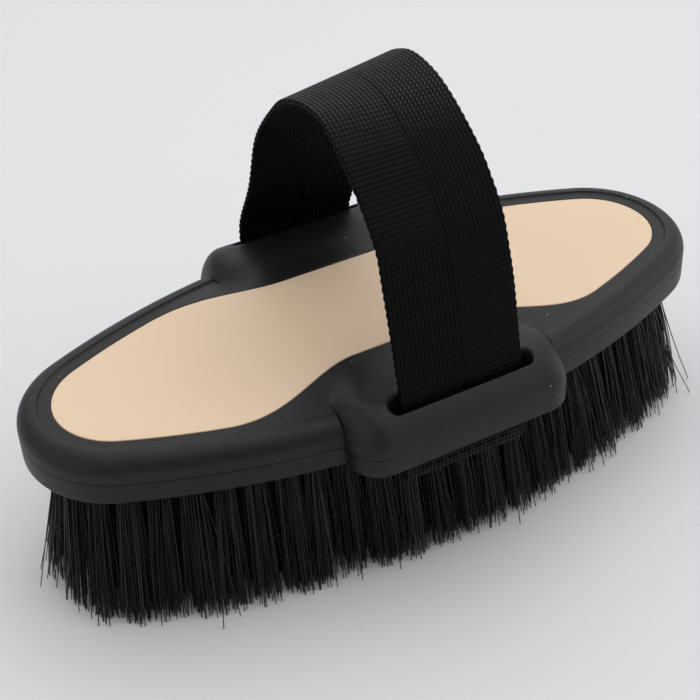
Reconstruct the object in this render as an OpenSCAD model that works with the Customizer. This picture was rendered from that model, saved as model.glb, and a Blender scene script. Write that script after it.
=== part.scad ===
// Oval horse body brush. A black moulded base carries six rows of bristle tufts, a soft rubber
// frame with two ears wraps round it, a pale inlay fills the frame, and a webbing hand strap
// passes through a slot in each ear and is held by its folded ends.
// Origin on the floor under the middle of the brush, X along the length, -Y the front ear.

/* [Back] */
// Length of the oval back
back_length = 215; // [190:1:240]
// Width of the oval back without its ears
back_width = 94.4; // [88:0.2:98]
// Radius of the two rounded ends
end_radius = 29.6; // [26:0.2:34]
// Height of the base moulding, up to the parting line
base_height = 6; // [5.5:0.1:7]
// Height of the level field at the two ends, above the underside of the back
field_height = 12.9; // [12.5:0.1:14.5]
// Rise of the middle of the back between the ears
hill_rise = 3.4; // [1:0.1:4.5]
// Half length of the level top of the rise
hill_flat = 18; // [10:0.5:24]
// Distance from the middle at which the rise and the inlay's waist have run out
hill_reach = 60; // [50:1:70]

/* [Frame] */
// Width of the raised bead round the edge
bead_width = 6.1; // [5.6:0.1:7]
// Radius of the bead's outer edge
bead_radius = 5.4; // [3:0.1:5.5]
// Height of the bead above the level field
bead_rise = 0.6; // [0.2:0.1:1.5]
// Width of the small step from the bead down to the field
bead_step = 0.4; // [0.2:0.1:0.8]
// Height of the tongue that locates the frame on the base
tongue_height = 2.5; // [1:0.1:4]
// Width of that tongue
tongue_width = 2; // [1:0.1:2.4]
// Gap between pieces that are moulded or bonded together
seat_gap = 0.12; // [0.08:0.01:0.3]

/* [Ears] */
// Half length of an ear along the brush
ear_half = 34; // [30:0.5:38]
// Distance from the edge of the back out to an ear's outer face
ear_reach = 8.1; // [7:0.1:12]
// Corner radius of an ear in plan
ear_corner = 9; // [5:0.5:10]
// Height of an ear's crest above the underside of the back
ear_height = 18; // [17:0.1:20]
// Width of the rounding from an ear's crest to its outer face
ear_round_width = 11.3; // [8:0.1:14]
// Height of that rounding
ear_round_height = 9.5; // [7:0.1:11]
// Fullness of that rounding, where 2 is an ellipse
ear_fullness = 1.7; // [1.3:0.1:2.5]
// Length of the rounding at each end of an ear's crest
ear_end_round = 5.5; // [3:0.5:8]
// Width of the ramp from the inlay's waist up to an ear's crest
ear_ramp = 16; // [10:0.5:20]
// Distance from the edge of the back out to the middle of a strap slot
slot_reach = 0.9; // [0.2:0.1:2.4]
// Length of a strap slot
slot_length = 45; // [44:0.5:50]
// Width of a strap slot
slot_width = 4.6; // [4:0.1:5.2]

/* [Inlay] */
// Margin between the inlay and the edge of the back
inlay_margin = 9.85; // [9.6:0.05:12]
// Half width of the inlay at its waist
waist_half = 22; // [18:0.5:26]
// Thickness of the inlay
inlay_thickness = 2.2; // [1.6:0.1:3]

/* [Bristles] */
// Free length of the bristles below the back
bristle_length = 43; // [32:1:52]
// Thickness of the slice of backing that each row of tufts is set in
backing = 3.4; // [3:0.1:4]
// Distance from the edge of the back to the outer row of tufts
row_inset = 10.8; // [9:0.1:12]
// Distance between tufts along a row
tuft_pitch = 8.4; // [8:0.1:10]
// How far the tips of the outer row lean out past their roots
splay = 7; // [2:0.5:9]
// Width of one strand at its root
strand_width = 1.5; // [1:0.1:1.8]
// Width of one strand at its tip
tip_width = 1.2; // [0.8:0.1:1.5]
// Depth of a strand's root in the backing
root_depth = 1; // [0.5:0.1:1.2]
// Thickness of the flat wire that anchors a tuft
anchor_wire = 0.4; // [0.3:0.05:0.6]
// Length of an anchor across its row
anchor_length = 2.4; // [1.8:0.1:3]
// Height of an anchor
anchor_height = 1.5; // [1:0.1:1.7]
// Gap round an anchor in its pocket
anchor_gap = 0.05; // [0.03:0.01:0.1]

/* [Hand strap] */
// Width of the webbing
strap_width = 38; // [36:0.5:39]
// Thickness of the webbing
strap_thickness = 1.8; // [1.2:0.1:2]
// Height of the foot of the loop above the underside of the back
loop_foot = 17; // [15:0.5:18]
// Height of the loop above its foot
loop_height = 67; // [50:0.5:80]
// Gap between the webbing and the outer wall of its slot
strap_gap = 0.3; // [0.3:0.05:0.6]
// Thickness of a folded hem
hem_thickness = 5.6; // [5.4:0.1:6.4]
// Height of a folded hem
hem_height = 5.4; // [4.5:0.1:8]
// Corner radius of a folded hem
hem_corner = 1.6; // [0.8:0.1:2.2]
// Room between an ear's underside and the hem below it
hem_drop = 2.9; // [2.8:0.1:4]
// Length of one stitch of the hem's thread
stitch_length = 2.8; // [2:0.1:4]
// Gap between stitches
stitch_gap = 1.4; // [0.8:0.1:2]
// Thickness of the hem's thread
thread = 0.5; // [0.3:0.05:0.8]

/* [Hidden] */

rubber_black = [0.16, 0.16, 0.165];
base_black = [0.12, 0.12, 0.125];
beige = [0.89, 0.80, 0.69];
bristle_black = [0.06, 0.06, 0.06];
webbing_black = [0.05, 0.05, 0.055];
steel = [0.72, 0.72, 0.74];

half_l = back_length / 2;
half_w = back_width / 2;
ear_face = half_w + ear_reach;
slot_middle = half_w + slot_reach;
underside = bristle_length;
parting = underside + base_height;
field_z = underside + field_height;
ear_z = underside + ear_height;
overshoot = 1;

// Rows of tufts share the width between the outer row and the middle one, with a little more room
// beside the middle row
row_count = 6;
middle_room = 1.2;
row_pitch = (half_w - row_inset) / (row_count - 2 + middle_room);
tray_inset = row_inset - row_pitch / 2;

// Counts of stations along a quarter of the edge, of strips over the rise, of points round a
// ring of backing, and of steps along each span of the strap's loop and each corner of a hem
face_steps = 5;
corner_steps = 6;
side_steps = 9;
end_steps = 8;
hill_steps = 14;
ring_points = 96;
span_steps = 4;
hem_corner_steps = 4;

// Smooth step from 0 to 1, and a straight mix of two values
function ease(t) = let (u = min(max(t, 0), 1)) u * u * (3 - 2 * u);
function mix(a, b, t) = a + (b - a) * t;

// Height of the back along the brush
function hill_z(x) = field_z + hill_rise * (1 - ease((abs(x) - hill_flat) / (hill_reach - hill_flat)));

// A four-arc oval of half length a, half width b and end radius r: its side radius and the
// half angle of its end arcs
function side_radius(a, b, r) = ((a - r) * (a - r) + b * b - r * r) / (2 * (b - r));
function end_angle(a, b, r) = atan2(side_radius(a, b, r) - b, a - r);

// Half width of a four-arc oval at x
function oval_half(x, a, b, r) =
    let (big = side_radius(a, b, r), turn = end_angle(a, b, r), u = abs(x))
    u < a - r + r * cos(turn)
        ? sqrt(big * big - u * u) - (big - b)
        : sqrt(max(r * r - (u - a + r) * (u - a + r), 0));

// Length round an oval, and the place and outward angle at a share s of that length
function end_arc(a, b, r) = end_angle(a, b, r) * PI / 90 * r;
function side_arc(a, b, r) = (90 - end_angle(a, b, r)) * PI / 90 * side_radius(a, b, r);
function oval_length(a, b, r) = 2 * (end_arc(a, b, r) + side_arc(a, b, r));
function arc_place(cx, cy, radius, angle) = [cx + radius * cos(angle), cy + radius * sin(angle), angle];
function oval_place(a, b, r, s) =
    let (
        big = side_radius(a, b, r),
        turn = end_angle(a, b, r),
        e = end_arc(a, b, r),
        w = side_arc(a, b, r),
        d = s * oval_length(a, b, r),
        deg = 180 / PI
    )
    d < e / 2 ? arc_place(a - r, 0, r, d / r * deg)
    : d < e / 2 + w ? arc_place(0, b - big, big, turn + (d - e / 2) / big * deg)
    : d < 1.5 * e + w ? arc_place(r - a, 0, r, 180 - turn + (d - e / 2 - w) / r * deg)
    : d < 1.5 * e + 2 * w ? arc_place(0, big - b, big, 180 + turn + (d - 1.5 * e - w) / big * deg)
    : arc_place(a - r, 0, r, (d - 1.5 * e - 2 * w) / r * deg - turn);

// The oval that lies a given distance inside the edge of the back. Deep inside, its ends keep a
// share of its width as their radius.
least_end_share = 0.42;
function inset_radius(inset) = max(end_radius - inset, least_end_share * (half_w - inset));
function inset_place(inset, s) = oval_place(half_l - inset, half_w - inset, inset_radius(inset), s);
function inset_length(inset) = oval_length(half_l - inset, half_w - inset, inset_radius(inset));

module inset_oval(inset) {
    polygon([for (i = [0 : ring_points - 1]) let (p = inset_place(inset, i / ring_points)) [p[0], p[1]]]);
}

// Half width of the inlay at x, grown by a gap: the oval inside the margin, drawn in to a waist
function inlay_half(x, grow) =
    let (
        inset = inlay_margin - grow,
        lobe = oval_half(x, half_l - inset, half_w - inset, end_radius - inset),
        waist = waist_half + grow
    )
    mix(waist, lobe, ease((abs(x) - hill_flat) / (hill_reach - hill_flat)));

// Stations along a quarter of the edge, from the middle of an ear to the tip of the brush:
// the outer place, the share of ear in its section, the inner x on the inlay's edge, and on the
// round end the angle.
rim_big = side_radius(half_l, half_w, end_radius);
rim_turn = end_angle(half_l, half_w, end_radius);
end_x = half_l - end_radius;
draw_in = (rim_big - inlay_margin) / rim_big;
face_half = ear_half - ear_corner;
foot_turn = acos(ear_half / rim_big);
foot_y = rim_big * sin(foot_turn) - (rim_big - half_w);
corner_inner = [face_half * draw_in, (ear_half - bead_step) * draw_in - bead_step];

quarter = concat(
    [for (i = [0 : face_steps - 1]) let (x = face_half * i / face_steps) [[x, ear_face], 1, x * draw_in]],
    [for (i = [0 : corner_steps])
        let (t = 90 * i / corner_steps)
        [[face_half + ear_corner * sin(t), ear_face - ear_corner * (1 - cos(t))], 1,
         mix(corner_inner[0], corner_inner[1], i / corner_steps)]],
    [for (i = [0 : side_steps - 1])
        let (t = mix(foot_turn, rim_turn, i / side_steps))
        [[rim_big * cos(t), rim_big * sin(t) - (rim_big - half_w)], 0, rim_big * cos(t) * draw_in]],
    [for (i = [0 : end_steps])
        let (t = rim_turn * (1 - i / end_steps))
        [[end_x + end_radius * cos(t), end_radius * sin(t)], 0, 0, t]]
);

// The quarter's stations in order round the whole edge, with the signs of x and y
last = len(quarter) - 1;
edge = concat(
    [for (i = [last : -1 : 0]) [quarter[i], 1, 1]],
    [for (i = [1 : last]) [quarter[i], -1, 1]],
    [for (i = [last - 1 : -1 : 0]) [quarter[i], -1, -1]],
    [for (i = [1 : last - 1]) [quarter[i], 1, -1]]
);
function outer_place(station) = station[0];
function inner_place(station, grow) =
    len(station) == 4
        ? let (r = end_radius - inlay_margin + grow) [end_x + r * cos(station[3]), r * sin(station[3])]
        : [station[2], inlay_half(station[2], grow)];

module back_2d() {
    polygon([for (e = edge) let (p = outer_place(e[0])) [e[1] * p[0], e[2] * p[1]]]);
}

module inlay_2d(grow) {
    polygon([for (e = edge) let (p = inner_place(e[0], grow)) [e[1] * p[0], e[2] * p[1]]]);
}

// Top of an ear before its outer edge is rounded: a ramp from the back's rise up to the crest,
// rounded down at the ear's two ends
function ear_top(x, y) =
    let (
        base = hill_z(x),
        ramp = ease((y - waist_half) / ear_ramp),
        past = min(max((x - ear_half) / ear_end_round + 1, 0), 1)
    )
    base + max(ear_z - base, 0) * ramp * sqrt(1 - past * past);

// Shares of the rounded edge, and of the field between the bead and the inlay, that have a row
round_shares = [0, 0.08, 0.3, 0.6, 1];
field_shares = [0, 0.25, 0.5, 0.75, 1];

// A section of the frame at one station: its outer wall, its rounded edge, its bead, its field
// and its inner wall
function frame_section(station) =
    let (
        outer = outer_place(station),
        inner = inner_place(station, seat_gap),
        ear = station[1],
        span = norm(inner - outer),
        wide = mix(bead_radius, ear_round_width, ear),
        high = mix(bead_radius, ear_round_height, ear),
        full = mix(2, ear_fullness, ear),
        bead_end = wide + bead_width - bead_radius,
        field_start = bead_end + bead_step,
        insets = concat([for (f = round_shares) f * wide], [bead_end],
                        [for (f = field_shares) mix(field_start, span, f)]),
        top = [for (d = insets)
            let (
                p = mix(outer, inner, d / span),
                on_bead = d <= bead_end,
                field = mix(field_z, hill_z(inner[0]), (d - field_start) / (span - field_start)),
                rim = on_bead ? field_z + bead_rise : field,
                left = max(1 - d / wide, 0),
                drop = high * (1 - pow(1 - pow(left, full), 1 / full))
            )
            [p[0], p[1], mix(rim, ear_top(p[0], p[1]), ear) - drop]]
    )
    concat([[outer[0], outer[1], parting]], top, [[inner[0], inner[1], parting]]);

// The frame's body is its section carried round the edge
module frame_loft() {
    sections = [for (e = edge) [for (p = frame_section(e[0])) [e[1] * p[0], e[2] * p[1], p[2]]]];
    rows = len(sections[0]);
    count = len(sections);
    function at(i, j) = (i % count) * rows + j % rows;
    faces = [for (i = [0 : count - 1], j = [0 : rows - 1])
        each [[at(i, j), at(i, j + 1), at(i + 1, j)], [at(i + 1, j), at(i, j + 1), at(i + 1, j + 1)]]];
    polyhedron([for (s = sections) each s], faces);
}

module strap_slots() {
    straight = slot_length - slot_width;
    for (side = [-1, 1])
        translate([0, side * slot_middle, underside - overshoot])
            linear_extrude(ear_height + 2 * overshoot) {
                square([straight, slot_width], center = true);
                for (x = [-straight / 2, straight / 2])
                    translate([x, 0]) circle(d = slot_width, $fn = 48);
            }
}

// Solid under the curved back, lowered by a depth, and above a floor
module under_back(depth, floor_z) {
    past = half_l + overshoot;
    rise = [for (i = [0 : hill_steps]) mix(-hill_reach, -hill_flat, i / hill_steps)];
    fall = [for (i = [hill_steps : -1 : 0]) -rise[i]];
    xs = concat([-past], rise, fall, [past]);
    top = [for (x = xs) [x, hill_z(x) - depth]];
    rotate([90, 0, 0])
        linear_extrude(2 * ear_face, center = true)
            polygon(concat([[past, floor_z], [-past, floor_z]], top));
}

// Ring on the base that fits a groove under the frame
module tongue(gap) {
    translate([0, 0, parting - overshoot])
        linear_extrude(overshoot + tongue_height + gap)
            difference() {
                inset_oval(bead_width - gap);
                inset_oval(bead_width + tongue_width + gap);
            }
}

module base_plate() {
    color(base_black)
        difference() {
            union() {
                translate([0, 0, underside]) linear_extrude(base_height) back_2d();
                intersection() {
                    under_back(inlay_thickness, parting - overshoot);
                    translate([0, 0, underside]) linear_extrude(ear_height) inlay_2d(0);
                }
                tongue(0);
            }
            translate([0, 0, underside - overshoot])
                linear_extrude(backing + overshoot) inset_oval(tray_inset);
            strap_slots();
        }
}

module top_frame() {
    color(rubber_black)
        difference() {
            frame_loft();
            tongue(seat_gap);
            strap_slots();
        }
}

module inlay_panel() {
    color(beige)
        difference() {
            intersection() {
                under_back(0, parting);
                translate([0, 0, underside]) linear_extrude(2 * ear_height) inlay_2d(0);
            }
            under_back(inlay_thickness, underside);
        }
}

// Rows of tufts, counted from the edge, as places with their outward angle. The last row is a
// straight line along the middle.
function row_depth(row) = row_inset + (row - 1) * row_pitch;
function row_places(row) =
    row < row_count
        ? let (n = round(inset_length(row_depth(row)) / tuft_pitch))
          [for (i = [0 : n - 1]) inset_place(row_depth(row), (i + 0.5) / n)]
        : let (n = floor((half_l - row_depth(row)) / tuft_pitch))
          [for (i = [-n : n]) [i * tuft_pitch, 0, 90]];

// One strand: a tapered square prism from its root in the backing to its tip on the floor
module strand(root, tip, turn) {
    corners = [[1, 1], [-1, 1], [-1, -1], [1, -1]] / 2;
    function turned(c) = [c[0] * cos(turn) - c[1] * sin(turn), c[0] * sin(turn) + c[1] * cos(turn), 0];
    points = concat([for (c = corners) tip + tip_width * turned(c)],
                    [for (c = corners) root + strand_width * turned(c)]);
    walls = [for (i = [0 : 3])
        let (j = (i + 1) % 4)
        each [[i, i + 4, j], [j, i + 4, j + 4]]];
    polyhedron(points, concat([[0, 1, 2], [0, 2, 3], [4, 6, 5], [4, 7, 6]], walls));
}

// A tuft is a pair of strands side by side along its row, which fan out to a quarter of the
// distance between tufts
module tuft(place, lean) {
    turn = place[2];
    out = [cos(turn), sin(turn), 0];
    along = [-sin(turn), cos(turn), 0];
    centre = [place[0], place[1], 0];
    rooted = [0, 0, underside + root_depth];
    for (side = [-1, 1])
        strand(centre + rooted + side * strand_width * along,
               centre + lean * out + side * tuft_pitch / 4 * along, turn);
}

module anchor(place, grow) {
    translate([place[0], place[1], underside + backing - anchor_height - grow])
        rotate(place[2])
            translate([-anchor_length / 2 - grow, -anchor_wire / 2 - grow])
                cube([anchor_length + 2 * grow, anchor_wire + 2 * grow, anchor_height + 2 * grow]);
}

module backing_ring(row) {
    outer = tray_inset + (row - 1) * row_pitch + seat_gap;
    translate([0, 0, underside])
        linear_extrude(backing)
            difference() {
                inset_oval(outer);
                if (row < row_count)
                    inset_oval(outer + row_pitch - seat_gap);
            }
}

module tuft_row(row) {
    lean = splay * (row_count - row) / (row_count - 1);
    color(bristle_black)
        difference() {
            union() {
                backing_ring(row);
                for (place = row_places(row))
                    tuft(place, lean);
            }
            for (place = row_places(row))
                anchor(place, anchor_gap);
        }
}

module tuft_anchors() {
    color(steel)
        for (row = [1 : row_count])
            for (place = row_places(row))
                anchor(place, 0);
}

// Middle line of the webbing loop, from the front hem over the top to the rear hem. Its shape is
// given as shares of the half span and of the loop's height, with one point below each foot, and
// a smooth curve passes through them.
hem_middle = underside - hem_drop - hem_height / 2;
strap_reach = slot_middle + slot_width / 2 - strap_gap - strap_thickness / 2;
loop_shape = [[-1, -0.12], [-1, 0], [-0.95, 0.12], [-0.88, 0.35], [-0.77, 0.6], [-0.55, 0.815],
              [-0.285, 0.96], [-0.06, 1], [0.18, 0.97], [0.4, 0.86], [0.615, 0.64], [0.775, 0.36],
              [0.93, 0.115], [1, 0], [1, -0.12]];
function curve_point(a, b, c, d, t) =
    (2 * b + (c - a) * t + (2 * a - 5 * b + 4 * c - d) * t * t + (3 * b - a - 3 * c + d) * t * t * t) / 2;
function loop_place(share) = [share[0] * strap_reach, underside + loop_foot + share[1] * loop_height];
loop_places = [for (share = loop_shape) loop_place(share)];
loop_curve = [for (i = [1 : len(loop_places) - 3], k = [0 : span_steps - 1])
    curve_point(loop_places[i - 1], loop_places[i], loop_places[i + 1], loop_places[i + 2], k / span_steps)];
loop_line = concat([[-strap_reach, hem_middle]], loop_curve, [loop_place([1, 0]), [strap_reach, hem_middle]]);

// A line moved to its left by a distance, and a list turned round
function unit(v) = v / norm(v);
function moved_left(line, d) =
    [for (i = [0 : len(line) - 1])
        let (t = unit(line[min(i + 1, len(line) - 1)] - line[max(i - 1, 0)]))
        line[i] + d * [-t[1], t[0]]];
function reversed(list) = [for (i = [len(list) - 1 : -1 : 0]) list[i]];

module hem_2d() {
    wide = hem_thickness / 2 - hem_corner;
    high = hem_height / 2 - hem_corner;
    centres = [[wide, high], [-wide, high], [-wide, -high], [wide, -high]];
    polygon([for (k = [0 : 3], i = [0 : hem_corner_steps])
        let (t = 90 * (k + i / hem_corner_steps))
        centres[k] + hem_corner * [cos(t), sin(t)]]);
}

module hand_strap() {
    half = strap_thickness / 2;
    color(webbing_black)
        rotate([90, 0, 90])
            union() {
                linear_extrude(strap_width, center = true)
                    polygon(concat(moved_left(loop_line, half), reversed(moved_left(loop_line, -half))));
                for (y = [-slot_middle, slot_middle])
                    translate([y, hem_middle])
                        linear_extrude(strap_width, center = true) hem_2d();
            }
}

// A row of lock stitches on the two faces of a hem
module hem_thread(side) {
    step = stitch_length + stitch_gap;
    count = floor((strap_width / 2 - stitch_length) / step);
    face = hem_thickness / 2;
    color(webbing_black)
        for (i = [-count : count])
            for (y = [side * slot_middle - face - thread, side * slot_middle + face])
                translate([i * step - stitch_length / 2, y, hem_middle - thread / 2])
                    cube([stitch_length, thread, thread]);
}

module tuft_row_1() { tuft_row(1); }
module tuft_row_2() { tuft_row(2); }
module tuft_row_3() { tuft_row(3); }
module tuft_row_4() { tuft_row(4); }
module tuft_row_5() { tuft_row(5); }
module tuft_row_6() { tuft_row(6); }
module front_hem_thread() { hem_thread(-1); }
module rear_hem_thread() { hem_thread(1); }

base_plate();
top_frame();
inlay_panel();
tuft_row_1();
tuft_row_2();
tuft_row_3();
tuft_row_4();
tuft_row_5();
tuft_row_6();
tuft_anchors();
hand_strap();
front_hem_thread();
rear_hem_thread();
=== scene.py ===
import math
from collections import namedtuple

import bmesh
import bpy
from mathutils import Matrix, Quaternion, Vector


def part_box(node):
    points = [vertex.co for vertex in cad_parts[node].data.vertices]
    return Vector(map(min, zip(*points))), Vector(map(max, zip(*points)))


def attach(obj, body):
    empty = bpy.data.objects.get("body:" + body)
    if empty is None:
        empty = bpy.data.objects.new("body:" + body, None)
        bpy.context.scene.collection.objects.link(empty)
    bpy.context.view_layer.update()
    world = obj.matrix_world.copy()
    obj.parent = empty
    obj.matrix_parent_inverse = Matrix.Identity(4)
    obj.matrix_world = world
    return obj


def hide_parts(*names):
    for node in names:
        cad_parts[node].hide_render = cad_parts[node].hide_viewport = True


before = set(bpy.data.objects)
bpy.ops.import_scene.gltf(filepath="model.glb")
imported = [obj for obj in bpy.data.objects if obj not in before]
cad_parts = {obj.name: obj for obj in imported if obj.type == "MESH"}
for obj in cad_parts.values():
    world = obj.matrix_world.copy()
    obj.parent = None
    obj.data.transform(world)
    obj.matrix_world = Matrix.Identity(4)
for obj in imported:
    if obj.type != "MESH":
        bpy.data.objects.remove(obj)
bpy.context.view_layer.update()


# Lower moulding of the back. A black moulded plate with an ear on each side and a slot through each
# ear. The tufts are set in its underside, and the rubber frame is seated on it at the parting line.
MM = 0.001
plate_low, plate_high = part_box("base_plate")
half_length = plate_high.x
ear_face = plate_high.y
underside = plate_low.z
parting = underside + 6 * MM
half_width = 47.2 * MM
end_radius = 29.6 * MM
ear_half = 34 * MM
ear_corner = 9 * MM
inlay_margin = 9.85 * MM
slot_middle = 48.1 * MM
slot_length = 45 * MM
slot_width = 4.6 * MM
slot_lip = 0.9 * MM
slot_clear = 5 * MM
plate_edge_round = 0.9 * MM
end_droop = 0.8 * MM
droop_start = 60.16 * MM
droop_run = 47 * MM
parting_chamfer = 0.22 * MM
crease_angle = math.radians(32)
plate_black = (0.005, 0.005, 0.0052, 1)
plate_grey = (0.009, 0.009, 0.0093, 1)


def mix(a, b, share):
    """The value that lies a share of the way from a to b."""
    return a + (b - a) * share


def ease(share):
    """A share held between 0 and 1, with a soft start and end."""
    held = min(max(share, 0), 1)
    return held * held * (3 - 2 * held)


class Sock:
    """A socket of a node tree. Operators add Math nodes, and node adds any other node."""

    def __init__(self, tree, socket=None):
        self.tree = tree
        self.socket = socket

    def node(self, kind, settings=None, inputs=None, out=0):
        made = self.tree.nodes.new(kind)
        for name, value in (settings or {}).items():
            setattr(made, name, value)
        for key, value in (inputs or {}).items():
            if isinstance(value, Sock):
                self.tree.links.new(value.socket, made.inputs[key])
            else:
                made.inputs[key].default_value = value
        return Sock(self.tree, made.outputs[out]) if made.outputs else None

    def math(self, operation, *others):
        return self.node("ShaderNodeMath", {"operation": operation}, dict(enumerate((self,) + others)))

    def vector(self, operation, other):
        key = "Scale" if operation == "SCALE" else 1
        out = "Value" if operation == "DOT_PRODUCT" else "Vector"
        return self.node("ShaderNodeVectorMath", {"operation": operation}, {0: self, key: other}, out)

    def between(self, low, high):
        """A smooth rise from 0 where the value is low to 1 where it is high."""
        inputs = {"Value": self, "From Min": low, "From Max": high}
        return self.node("ShaderNodeMapRange", {"interpolation_type": "SMOOTHSTEP"}, inputs)

    def colours(self, first, second):
        """A colour between two, mixed by this value. A Mix node's colour sockets share their names."""
        return self.node("ShaderNodeMix", {"data_type": "RGBA"}, {0: self, 6: first, 7: second}, out=2)

    def __add__(self, other):
        return self.math("ADD", other)

    def __sub__(self, other):
        return self.math("SUBTRACT", other)

    def __rsub__(self, other):
        return self.node("ShaderNodeMath", {"operation": "SUBTRACT"}, {0: other, 1: self})

    def __mul__(self, other):
        return self.math("MULTIPLY", other)

    def __truediv__(self, other):
        return self.math("DIVIDE", other)

    def __abs__(self):
        return self.math("ABSOLUTE")

    __radd__ = __add__
    __rmul__ = __mul__


def new_finish(name):
    """An empty node material and a start for its nodes."""
    material = bpy.data.materials.new(name)
    material.use_nodes = True
    material.node_tree.nodes.clear()
    return material, Sock(material.node_tree)


def shine(start, colour, roughness, height=None, depth=0.0, constants=None):
    """Close a finish with one surface shader, with an optional bump of a given depth in metres."""
    inputs = {"Base Color": colour, "Roughness": roughness}
    if height is not None:
        bump = {"Strength": 1.0, "Distance": depth, "Height": height}
        inputs["Normal"] = start.node("ShaderNodeBump", None, bump)
    inputs.update(constants or {})
    surface = start.node("ShaderNodeBsdfPrincipled", None, inputs)
    start.node("ShaderNodeOutputMaterial", None, {"Surface": surface})


def noise(start, place, size, detail=2.0):
    """Noise whose patches are about the given size in metres."""
    return start.node("ShaderNodeTexNoise", None, {"Vector": place, "Scale": 1 / size, "Detail": detail})


def moulded_plastic():
    """Matt black plastic with a faint cloud and a fine grain."""
    material, start = new_finish("moulded_black_plastic")
    place = start.node("ShaderNodeTexCoord", out="Object")
    cloud = noise(start, place, size=14 * MM)
    grain = noise(start, place, size=0.35 * MM)
    shine(start, cloud.colours(plate_black, plate_grey), roughness=0.38 + 0.14 * grain,
          height=grain, depth=0.02 * MM, constants={"Specular IOR Level": 0.29})
    return material


def new_piece(name, points, faces, material):
    """A mesh object with outward faces, smooth apart from edges sharper than the crease angle."""
    mesh = bpy.data.meshes.new(name)
    mesh.from_pydata(points, [], faces)
    shell = bmesh.new()
    shell.from_mesh(mesh)
    bmesh.ops.recalc_face_normals(shell, faces=shell.faces)
    shell.to_mesh(mesh)
    shell.free()
    mesh.shade_smooth()
    mesh.set_sharp_from_angle(angle=crease_angle)
    mesh.materials.append(material)
    piece = bpy.data.objects.new(name, mesh)
    bpy.context.scene.collection.objects.link(piece)
    return piece


def ring_faces(count, rings, closed):
    """Quads between rings of points, with the last ring joined to the first or both ends capped."""
    faces = []
    for ring in range(rings if closed else rings - 1):
        low, high = ring * count, (ring + 1) % rings * count
        for i in range(count):
            j = (i + 1) % count
            faces.append((low + i, low + j, high + j, high + i))
    if not closed:
        faces += [tuple(range(count)), tuple(range((rings - 1) * count, rings * count))]
    return faces


# A station on the edge of the back: its outer place, its share of ear, the x of the inlay's edge
# across from it and, on a round end, its angle
Station = namedtuple("Station", "x y ear inner_x turn")
end_x = half_length - end_radius
side_radius = (end_x ** 2 + half_width ** 2 - end_radius ** 2) / (2 * (half_width - end_radius))
end_turn = math.atan2(side_radius - half_width, end_x)
draw_in = (side_radius - inlay_margin) / side_radius
face_half = ear_half - ear_corner
foot_turn = math.acos(ear_half / side_radius)
foot_step = 0.4 * MM
# x on the inlay's edge where an ear's corner starts and where it ends
corner_inner = (face_half * draw_in, (ear_half - foot_step) * draw_in - foot_step)


def edge_quarter(face_steps=44, corner_steps=18, side_steps=48, end_steps=30):
    """Stations from the middle of an ear to the tip of the brush."""
    stations = []
    for i in range(face_steps):
        x = face_half * i / face_steps
        stations.append(Station(x, ear_face, 1, x * draw_in, None))
    for i in range(corner_steps + 1):
        turn = math.pi / 2 * i / corner_steps
        x = face_half + ear_corner * math.sin(turn)
        y = ear_face - ear_corner * (1 - math.cos(turn))
        stations.append(Station(x, y, 1, mix(*corner_inner, i / corner_steps), None))
    for i in range(side_steps):
        turn = mix(foot_turn, end_turn, i / side_steps)
        x = side_radius * math.cos(turn)
        y = side_radius * math.sin(turn) - (side_radius - half_width)
        stations.append(Station(x, y, 0, x * draw_in, None))
    for i in range(end_steps + 1):
        turn = end_turn * (1 - i / end_steps)
        x = end_x + end_radius * math.cos(turn)
        stations.append(Station(x, end_radius * math.sin(turn), 0, None, turn))
    return stations


# The stations round the whole back, each with the signs of x and y in its quarter
quarter = edge_quarter()
back_edge = [(station, 1, 1) for station in reversed(quarter)]
back_edge += [(station, -1, 1) for station in quarter[1:]]
back_edge += [(station, -1, -1) for station in reversed(quarter[:-1])]
back_edge += [(station, 1, -1) for station in quarter[1:-1]]


def inset_outline(line, inset):
    """A closed line of points in plan, moved inwards by a distance."""
    moved = []
    for i, point in enumerate(line):
        along = (line[(i + 1) % len(line)] - line[i - 1]).normalized()
        moved.append(point + inset * Vector((-along.y, along.x)))
    return moved


def slot_cutter(side, top):
    """A closed shape that cuts a strap slot with soft lips below and above."""
    rings = []
    per_end = 18
    lip_steps = 6
    straight = (slot_length - slot_width) / 2

    def ring(grow, height):
        reach = slot_width / 2 + grow
        points = []
        for i in range(2 * per_end):
            turn = math.pi * (i // per_end + (i % per_end) / (per_end - 1)) - math.pi / 2
            x = (straight if i < per_end else -straight) + reach * math.cos(turn)
            y = slot_middle + reach * math.sin(turn)
            points.append((x, side * y, height(x, y)))
        rings.append(points)

    ring(slot_lip, lambda x, y: underside - slot_lip)
    for i in range(lip_steps + 1):
        turn = math.pi / 2 * i / lip_steps
        ring(slot_lip * (1 - math.sin(turn)), lambda x, y: underside + slot_lip * (1 - math.cos(turn)))
    for i in range(lip_steps + 1):
        turn = math.pi / 2 * i / lip_steps
        ring(slot_lip * (1 - math.cos(turn)), lambda x, y: top(x, y) - slot_lip * (1 - math.sin(turn)))
    ring(slot_lip, lambda x, y: top(x, y) + slot_lip)
    points = [point for level in rings for point in level]
    return new_piece("slot_cutter", points, ring_faces(2 * per_end, len(rings), False), None)


def cut_slots(piece, top):
    """Cut both strap slots through a piece."""
    for side in (-1, 1):
        cutter = slot_cutter(side, top)
        modifier = piece.modifiers.new("slot", "BOOLEAN")
        modifier.object = cutter
        modifier.solver = "EXACT"
        cut = bpy.data.meshes.new_from_object(piece.evaluated_get(bpy.context.evaluated_depsgraph_get()))
        piece.modifiers.clear()
        piece.data = cut
        bpy.data.objects.remove(cutter)
    piece.data.set_sharp_from_angle(angle=crease_angle)


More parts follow.
